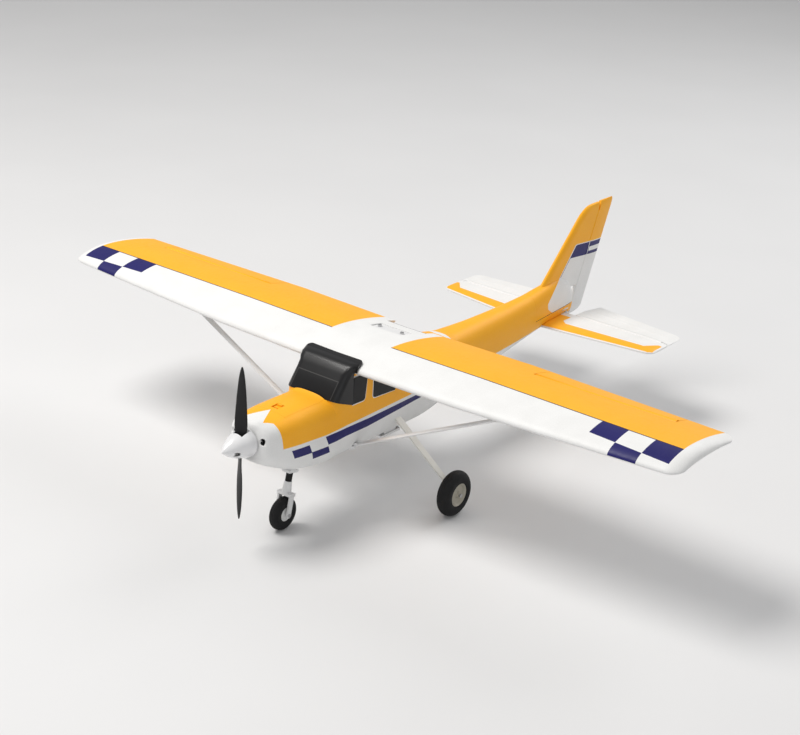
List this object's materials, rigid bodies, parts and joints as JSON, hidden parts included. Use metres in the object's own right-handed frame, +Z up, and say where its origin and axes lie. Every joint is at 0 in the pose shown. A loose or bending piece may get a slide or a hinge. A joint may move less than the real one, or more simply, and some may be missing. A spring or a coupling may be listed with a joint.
{
  "type": "radio-controlled foam trainer airplane",
  "caption": "High-wing foam trainer airplane with tractor propeller, tricycle landing gear, wing struts and hinged ailerons, elevator and rudder.",
  "frame": {"origin": "on the ground, at the bottom centre of the bounding box of the model standing on its three wheels", "axes": "+X towards the nose along the propeller shaft, +Y towards the left wing tip, +Z up"},
  "size_m": [1.0736, 1.2252, 0.355],
  "materials": {
    "orange_foam": "moulded expanded-foam skin, satin paint, orange",
    "white_foam": "moulded expanded-foam skin, satin, white",
    "canopy_black": "gloss black moulding",
    "black_nylon": "satin black nylon",
    "white_nylon": "satin white nylon",
    "spinner_white": "gloss white",
    "leg_white": "satin off-white glass-filled nylon",
    "tyre_rubber": "matt black rubber",
    "sleeve_rubber": "matt black rubber sleeve",
    "bright_steel": "plated steel",
    "motor_steel": "anodised and lacquered steel",
    "tube_aluminium": "drawn tube",
    "cell_pack": "laminate pouch cells in blue shrink wrap",
    "electronics_black": "matt black case",
    "servo_blue": "translucent blue case",
    "plywood": "thin birch plywood",
    "plate_grey": "satin light grey nylon"
  },
  "bodies": {
    "airframe": {"fuselage_left": "orange_foam", "fuselage_right": "orange_foam", "motor_mount": "black_nylon", "motor_stator": "motor_steel", "speed_controller": "electronics_black", "battery": "cell_pack", "receiver": "electronics_black", "equipment_tray": "plywood", "servos": "servo_blue", "side_windows": "canopy_black", "left_wing": "white_foam", "right_wing": "white_foam", "wing_tube": "tube_aluminium", "wing_plate": "plate_grey", "wing_screws": "bright_steel", "left_wing_strut": "white_nylon", "right_wing_strut": "white_nylon", "strut_brackets": "white_nylon", "gear_plate": "white_nylon", "main_gear_leg": "leg_white", "airframe_screws": "bright_steel", "main_axles": "bright_steel", "stabilizer": "white_foam", "fin": "orange_foam", "hinge_pins": "white_nylon", "nose_bearing": "white_nylon"},
    "propeller_unit": {"propeller": "black_nylon", "spinner": "spinner_white", "motor_bell": "motor_steel"},
    "left_aileron_body": {"left_aileron": "orange_foam", "left_aileron_horn": "black_nylon"},
    "right_aileron_body": {"right_aileron": "orange_foam", "right_aileron_horn": "black_nylon"},
    "left_aileron_arm_body": {"left_aileron_arm": "white_nylon"},
    "right_aileron_arm_body": {"right_aileron_arm": "white_nylon"},
    "left_aileron_rod_body": {"left_aileron_rod": "bright_steel"},
    "right_aileron_rod_body": {"right_aileron_rod": "bright_steel"},
    "elevator_body": {"elevator": "white_foam", "elevator_joiner": "bright_steel"},
    "elevator_arm_body": {"elevator_arm": "white_nylon"},
    "elevator_rod_body": {"elevator_rod": "bright_steel"},
    "rudder_body": {"rudder": "orange_foam", "rudder_horn": "black_nylon"},
    "rudder_arm_body": {"rudder_arm": "white_nylon"},
    "rudder_rod_body": {"rudder_rod": "bright_steel"},
    "steering_body": {"steering_arm": "bright_steel", "nose_spring": "sleeve_rubber"},
    "steering_servo_arm_body": {"steering_servo_arm": "white_nylon"},
    "steering_rod_body": {"steering_rod": "bright_steel"},
    "nose_leg_body": {"nose_fork": "white_nylon", "nose_axle": "bright_steel"},
    "nose_wheel": {"nose_hub": "white_nylon", "nose_tyre": "tyre_rubber"},
    "left_wheel": {"left_main_hub": "white_nylon", "left_main_tyre": "tyre_rubber"},
    "right_wheel": {"right_main_hub": "white_nylon", "right_main_tyre": "tyre_rubber"},
    "hatch": {"hatch_deck": "orange_foam", "windscreen": "canopy_black"},
    "latch": {"hatch_latch": "orange_foam"}
  },
  "joints": [
    {"name": "propeller_spin", "type": "hinge", "parent": "airframe", "child": "propeller_unit", "pos_m": [0.45, 0, 0.1837], "axis": [1, 0, 0], "continuous": true},
    {"name": "left_aileron_hinge", "type": "hinge", "parent": "airframe", "child": "left_aileron_body", "pos_m": [0.122, 0.39987, 0.26582], "axis": [0, 0.9999, 0.0161], "range_deg": [-25, 25]},
    {"name": "left_aileron_arm_turn", "type": "hinge", "parent": "airframe", "child": "left_aileron_arm_body", "pos_m": [0.172, 0.32988, 0.2647], "axis": [0, 0.9999, 0.0161], "range_deg": [-25, 25]},
    {"name": "left_aileron_rod_turn", "type": "hinge", "parent": "left_aileron_arm_body", "child": "left_aileron_rod_body", "pos_m": [0.172, 0.33007, 0.2527], "axis": [0, 0.9999, 0.0161], "range_deg": [-25, 25]},
    {"name": "right_aileron_hinge", "type": "hinge", "parent": "airframe", "child": "right_aileron_body", "pos_m": [0.122, -0.39987, 0.26582], "axis": [0, 0.9999, -0.0161], "range_deg": [-25, 25]},
    {"name": "right_aileron_arm_turn", "type": "hinge", "parent": "airframe", "child": "right_aileron_arm_body", "pos_m": [0.172, -0.32988, 0.2647], "axis": [0, 0.9999, -0.0161], "range_deg": [-25, 25]},
    {"name": "right_aileron_rod_turn", "type": "hinge", "parent": "right_aileron_arm_body", "child": "right_aileron_rod_body", "pos_m": [0.172, -0.33007, 0.2527], "axis": [0, 0.9999, -0.0161], "range_deg": [-25, 25]},
    {"name": "elevator_hinge", "type": "hinge", "parent": "airframe", "child": "elevator_body", "pos_m": [-0.392, 0, 0.157], "axis": [0, 1, 0], "range_deg": [-25, 25]},
    {"name": "elevator_arm_turn", "type": "hinge", "parent": "airframe", "child": "elevator_arm_body", "pos_m": [0.122, 0.009, 0.157], "axis": [0, 1, 0], "range_deg": [-25, 25]},
    {"name": "elevator_rod_turn", "type": "hinge", "parent": "elevator_arm_body", "child": "elevator_rod_body", "pos_m": [0.122, 0.009, 0.169], "axis": [0, 1, 0], "range_deg": [-25, 25]},
    {"name": "rudder_hinge", "type": "hinge", "parent": "airframe", "child": "rudder_body", "pos_m": [-0.42893, 0, 0.19], "axis": [-0.3649, 0, 0.9311], "range_deg": [-30, 30]},
    {"name": "rudder_arm_turn", "type": "hinge", "parent": "airframe", "child": "rudder_arm_body", "pos_m": [0.166, 0, 0.19], "axis": [-0.3649, 0, 0.9311], "range_deg": [-30, 30]},
    {"name": "rudder_rod_turn", "type": "hinge", "parent": "rudder_arm_body", "child": "rudder_rod_body", "pos_m": [0.166, -0.018, 0.19], "axis": [-0.3649, 0, 0.9311], "range_deg": [-30, 30]},
    {"name": "nose_steer", "type": "hinge", "parent": "airframe", "child": "steering_body", "pos_m": [0.3937, 0, 0.02825], "axis": [-0.2028, 0, 0.9792], "range_deg": [-30, 30]},
    {"name": "steering_servo_turn", "type": "hinge", "parent": "airframe", "child": "steering_servo_arm_body", "pos_m": [0.32331, 0, 0.14133], "axis": [-0.2028, 0, 0.9792], "range_deg": [-30, 30]},
    {"name": "steering_rod_turn", "type": "hinge", "parent": "steering_servo_arm_body", "child": "steering_rod_body", "pos_m": [0.32331, -0.012, 0.14133], "axis": [-0.2028, 0, 0.9792], "range_deg": [-30, 30]},
    {"name": "nose_suspension", "type": "slide", "parent": "steering_body", "child": "nose_leg_body", "axis": [-0.2028, 0, 0.9792], "range_m": [0, 0.008], "stiffness_N_per_m": 700, "springref_m": -0.012, "deforming": ["nose_spring"]},
    {"name": "nose_wheel_spin", "type": "hinge", "parent": "nose_leg_body", "child": "nose_wheel", "pos_m": [0.3937, 0, 0.02825], "axis": [0, 1, 0], "continuous": true},
    {"name": "left_wheel_spin", "type": "hinge", "parent": "airframe", "child": "left_wheel", "pos_m": [0.164, 0.167, 0.0388], "axis": [0, 1, 0], "continuous": true},
    {"name": "right_wheel_spin", "type": "hinge", "parent": "airframe", "child": "right_wheel", "pos_m": [0.164, -0.167, 0.0388], "axis": [0, 1, 0], "continuous": true},
    {"name": "hatch_lift", "type": "slide", "parent": "airframe", "child": "hatch", "axis": [0, 0, 1], "range_m": [0, 0.08]},
    {"name": "latch_slide", "type": "slide", "parent": "hatch", "child": "latch", "axis": [1, 0, 0], "range_m": [0, 0.004]}
  ],
  "couplings": [
    {"joint": "right_aileron_hinge", "follows": "left_aileron_hinge", "ratio": -1},
    {"joint": "left_aileron_arm_turn", "follows": "left_aileron_hinge", "ratio": 1},
    {"joint": "left_aileron_rod_turn", "follows": "left_aileron_hinge", "ratio": -1},
    {"joint": "right_aileron_arm_turn", "follows": "left_aileron_hinge", "ratio": -1},
    {"joint": "right_aileron_rod_turn", "follows": "left_aileron_hinge", "ratio": 1},
    {"joint": "elevator_arm_turn", "follows": "elevator_hinge", "ratio": 1},
    {"joint": "elevator_rod_turn", "follows": "elevator_hinge", "ratio": -1},
    {"joint": "rudder_arm_turn", "follows": "rudder_hinge", "ratio": 1},
    {"joint": "rudder_rod_turn", "follows": "rudder_hinge", "ratio": -1},
    {"joint": "nose_steer", "follows": "rudder_hinge", "ratio": -1},
    {"joint": "steering_servo_turn", "follows": "rudder_hinge", "ratio": -1},
    {"joint": "steering_rod_turn", "follows": "rudder_hinge", "ratio": 1}
  ]
}
